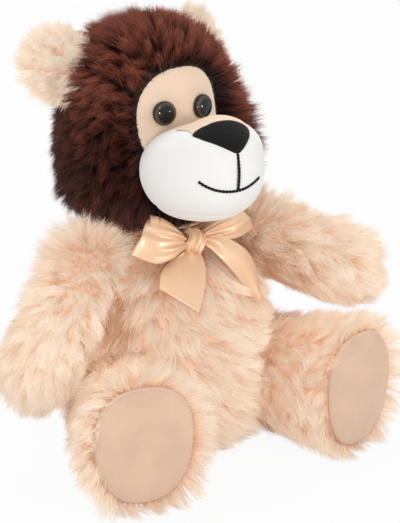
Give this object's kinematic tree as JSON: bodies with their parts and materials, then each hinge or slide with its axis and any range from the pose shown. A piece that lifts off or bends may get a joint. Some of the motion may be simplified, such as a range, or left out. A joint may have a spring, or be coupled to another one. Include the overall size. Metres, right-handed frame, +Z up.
{
  "type": "plush lion",
  "caption": "Seated plush lion with long fur, a brown mane, a big velour muzzle, plastic eyes, a satin neck bow and sewn limbs that flex.",
  "frame": {"origin": "middle of the flat seat under the body, on the floor", "axes": "+Z up, -Y the way the lion faces, +X the lion's own left"},
  "size_m": [0.2281, 0.2387, 0.2472],
  "materials": {
    "cream_fur": "long soft pile fur, cream with pinkish tan roots",
    "brown_fur": "long soft pile fur, chocolate brown",
    "peach_velour": "short pile velour",
    "white_velour": "short pile velour",
    "sole_velour": "short pile velour",
    "black_thread": "dense satin stitch embroidery",
    "black_plastic": "moulded safety eye, olive brown iris under a clear dome",
    "washer_plastic": "pressed locking washer",
    "gold_satin": "woven satin ribbon",
    "white_fibre": "loose polyester fibre filling"
  },
  "bodies": {
    "torso": {"torso_skin": "cream_fur", "torso_stuffing": "white_fibre", "neck_ribbon": "gold_satin", "bow_knot": "gold_satin", "bow_loop_left": "gold_satin", "bow_loop_right": "gold_satin", "bow_tail_left": "gold_satin", "bow_tail_right": "gold_satin"},
    "head": {"mane_skin": "brown_fur", "head_stuffing": "white_fibre", "face_panel": "peach_velour", "muzzle_bridge": "peach_velour", "muzzle_cheeks": "white_velour", "chin_panel": "white_velour", "muzzle_stuffing": "white_fibre", "nose_patch": "black_thread", "mouth_upright": "black_thread", "mouth_smile": "black_thread", "eye_left": "black_plastic", "eye_right": "black_plastic", "eye_washer_left": "washer_plastic", "eye_washer_right": "washer_plastic"},
    "ear_left": {"ear_left": "cream_fur"},
    "ear_right": {"ear_right": "cream_fur"},
    "arm_left": {"arm_left_skin": "cream_fur", "arm_left_stuffing": "white_fibre"},
    "arm_right": {"arm_right_skin": "cream_fur", "arm_right_stuffing": "white_fibre"},
    "leg_left": {"leg_left_skin": "cream_fur", "leg_left_stuffing": "white_fibre", "foot_pad_left": "sole_velour"},
    "leg_right": {"leg_right_skin": "cream_fur", "leg_right_stuffing": "white_fibre", "foot_pad_right": "sole_velour"},
    "tail": {"tail_skin": "cream_fur", "tail_tuft": "brown_fur"}
  },
  "joints": [
    {"name": "head_turn", "type": "hinge", "parent": "torso", "child": "head", "pos_m": [0, 0.012, 0.19], "axis": [0, 0, 1], "range_deg": [-25, 25], "stiffness_Nm_per_rad": 0.5},
    {"name": "ear_left_fold", "type": "hinge", "parent": "head", "child": "ear_left", "pos_m": [0.04059, 0.02906, 0.21474], "axis": [0.5204, 0, -0.8539], "range_deg": [-20, 20], "stiffness_Nm_per_rad": 0.05},
    {"name": "ear_right_fold", "type": "hinge", "parent": "head", "child": "ear_right", "pos_m": [-0.04059, 0.02906, 0.21474], "axis": [0.5204, 0, 0.8539], "range_deg": [-20, 20], "stiffness_Nm_per_rad": 0.05},
    {"name": "arm_left_swing", "type": "hinge", "parent": "torso", "child": "arm_left", "pos_m": [0.05, 0.004, 0.116], "axis": [-0.7507, -0.4814, -0.4523], "range_deg": [-40, 10], "stiffness_Nm_per_rad": 0.6},
    {"name": "arm_right_swing", "type": "hinge", "parent": "torso", "child": "arm_right", "pos_m": [-0.05, 0.004, 0.116], "axis": [-0.7507, 0.4814, 0.4523], "range_deg": [0, 50], "stiffness_Nm_per_rad": 0.6},
    {"name": "leg_left_swing", "type": "hinge", "parent": "torso", "child": "leg_left", "pos_m": [0.046, -0.022, 0.0385], "axis": [-1, 0, 0], "range_deg": [-8, 4], "stiffness_Nm_per_rad": 1.2},
    {"name": "leg_right_swing", "type": "hinge", "parent": "torso", "child": "leg_right", "pos_m": [-0.046, -0.022, 0.0385], "axis": [-1, 0, 0], "range_deg": [-8, 4], "stiffness_Nm_per_rad": 1.2},
    {"name": "tail_wag", "type": "hinge", "parent": "torso", "child": "tail", "pos_m": [0, 0.046, 0.0145], "axis": [0, 0, 1], "range_deg": [-25, 25], "stiffness_Nm_per_rad": 0.1}
  ]
}
